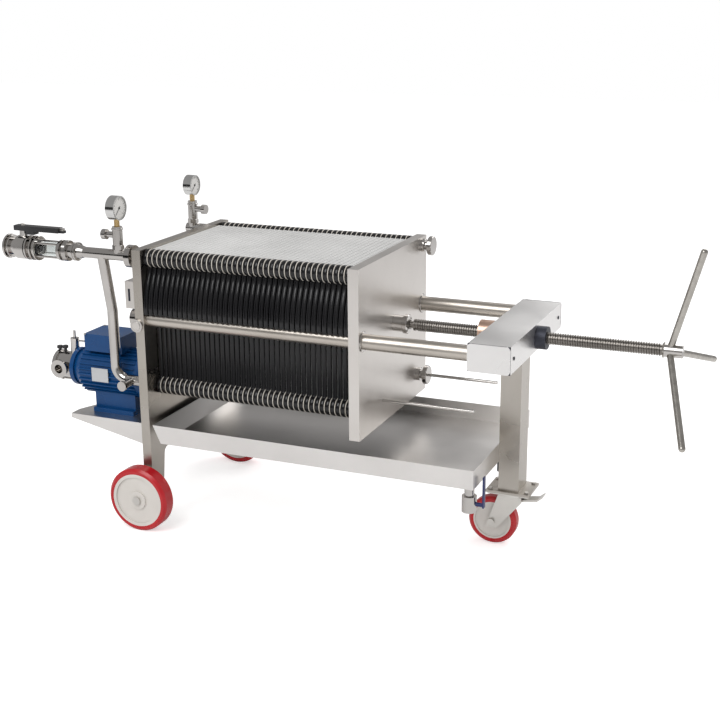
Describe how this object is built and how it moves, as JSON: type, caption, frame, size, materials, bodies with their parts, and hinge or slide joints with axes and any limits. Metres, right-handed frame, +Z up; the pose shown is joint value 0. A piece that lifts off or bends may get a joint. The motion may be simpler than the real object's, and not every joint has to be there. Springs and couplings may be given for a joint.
{
  "type": "plate filter press",
  "caption": "Wheeled filter press: square plates hang on side rails between a fixed plate and a sliding plate that a hand screw closes, with pump, motor, gauges, outlet valve and drip tray.",
  "frame": {"origin": "on the floor, under the middle of the overall length and width", "axes": "+X along the rails from the fixed plate to the hand screw, +Y to the far side from the outlet valve, +Z up"},
  "size_m": [1.774, 0.5876, 0.86],
  "materials": {
    "stainless_satin": "satin brushed",
    "stainless_polished": "polished",
    "zinc_steel": "zinc plated",
    "dark_steel": "satin dark",
    "plate_black": "semi-gloss",
    "filter_sheet": "matt fibre",
    "hub_white": "matt",
    "tread_red": "satin",
    "motor_blue": "semi-gloss enamel",
    "bronze": "satin cast",
    "gauge_brass": "machined",
    "gauge_chrome": "polished",
    "handle_black": "satin",
    "handle_blue": "satin",
    "sight_glass": "clear"
  },
  "bodies": {
    "frame": {"head_plate": "stainless_satin", "rear_axles": "zinc_steel", "near_rail": "stainless_polished", "far_rail": "stainless_polished", "rail_end_fittings": "stainless_polished", "crossbeam": "stainless_satin", "beam_end_caps": "stainless_satin", "leg": "stainless_satin", "foot_plate": "stainless_satin", "caster_plate": "zinc_steel", "drip_tray": "stainless_satin", "tray_brackets": "dark_steel", "filter_plates": "plate_black", "filter_sheets": "filter_sheet", "bronze_nut": "bronze", "screw_collar": "dark_steel", "pump_shelf": "stainless_satin", "motor_body": "motor_blue", "motor_foot": "motor_blue", "motor_end_covers": "motor_blue", "terminal_box": "motor_blue", "pump_housing": "stainless_polished", "relief_valve": "stainless_polished", "outlet_pipe": "stainless_polished", "outlet_clamp": "stainless_polished", "sight_union": "stainless_polished", "sight_glass": "sight_glass", "sight_tie_rods": "stainless_polished", "valve_body": "stainless_polished", "riser_pipe": "stainless_polished", "inlet_stub": "stainless_polished", "gauge_blocks": "stainless_polished", "gauge_stems": "gauge_brass", "gauge_cases": "gauge_chrome", "switch_box": "stainless_satin", "drain_valve": "stainless_polished"},
    "plate_carriage": {"moving_plate": "stainless_satin", "rail_bushes": "stainless_polished", "thrust_hub": "stainless_polished", "port_caps": "stainless_polished", "pull_rods": "stainless_polished"},
    "screw": {"press_screw": "stainless_polished", "handle_hub": "stainless_polished", "handle_arms": "stainless_polished"},
    "near_wheel": {"near_wheel_hub": "hub_white", "near_wheel_tread": "tread_red"},
    "far_wheel": {"far_wheel_hub": "hub_white", "far_wheel_tread": "tread_red"},
    "caster_swivel": {"caster_fork": "zinc_steel", "fork_pins": "zinc_steel"},
    "caster_wheel": {"caster_hub": "hub_white", "caster_tread": "tread_red"},
    "pedal": {"brake_pedal": "zinc_steel"},
    "outlet_lever": {"valve_disc": "stainless_polished", "valve_lever": "handle_black"},
    "near_tap": {"near_tap_knob": "handle_black"},
    "far_tap": {"far_tap_knob": "handle_black"},
    "drain_handle": {"drain_lever": "handle_blue"}
  },
  "joints": [
    {"name": "plate_slide", "type": "slide", "parent": "frame", "child": "plate_carriage", "axis": [1, 0, 0], "range_m": [0, 0.16]},
    {"name": "screw_turn", "type": "hinge", "parent": "plate_carriage", "child": "screw", "pos_m": [0.2, 0, 0.548], "axis": [1, 0, 0], "range_deg": [0, 9600]},
    {"name": "near_wheel_roll", "type": "hinge", "parent": "frame", "child": "near_wheel", "pos_m": [-0.4755, -0.2665, 0.085], "axis": [0, 1, 0], "continuous": true},
    {"name": "far_wheel_roll", "type": "hinge", "parent": "frame", "child": "far_wheel", "pos_m": [-0.4755, 0.2665, 0.085], "axis": [0, 1, 0], "continuous": true},
    {"name": "caster_turn", "type": "hinge", "parent": "frame", "child": "caster_swivel", "pos_m": [0.4435, 0, 0.1367], "axis": [0, 0, 1], "continuous": true},
    {"name": "caster_roll", "type": "hinge", "parent": "caster_swivel", "child": "caster_wheel", "pos_m": [0.3975, 0, 0.0625], "axis": [0, 1, 0], "continuous": true},
    {"name": "pedal_press", "type": "hinge", "parent": "caster_swivel", "child": "pedal", "pos_m": [0.4535, 0, 0.1227], "axis": [0, 1, 0], "range_deg": [0, 18]},
    {"name": "outlet_lever_turn", "type": "hinge", "parent": "frame", "child": "outlet_lever", "pos_m": [-0.837, -0.196, 0.7535], "axis": [0, 0, 1], "range_deg": [0, 90]},
    {"name": "near_tap_turn", "type": "hinge", "parent": "frame", "child": "near_tap", "pos_m": [-0.584, -0.196, 0.76], "axis": [1, 0, 0], "range_deg": [0, 360]},
    {"name": "far_tap_turn", "type": "hinge", "parent": "frame", "child": "far_tap", "pos_m": [-0.52, 0.196, 0.763], "axis": [1, 0, 0], "range_deg": [0, 360]},
    {"name": "drain_lever_turn", "type": "hinge", "parent": "frame", "child": "drain_handle", "pos_m": [0.42, -0.19, 0.1765], "axis": [1, 0, 0], "range_deg": [0, 90]}
  ],
  "couplings": [
    {"joint": "plate_slide", "follows": "screw_turn", "m_per_rad": 0.00095493}
  ]
}
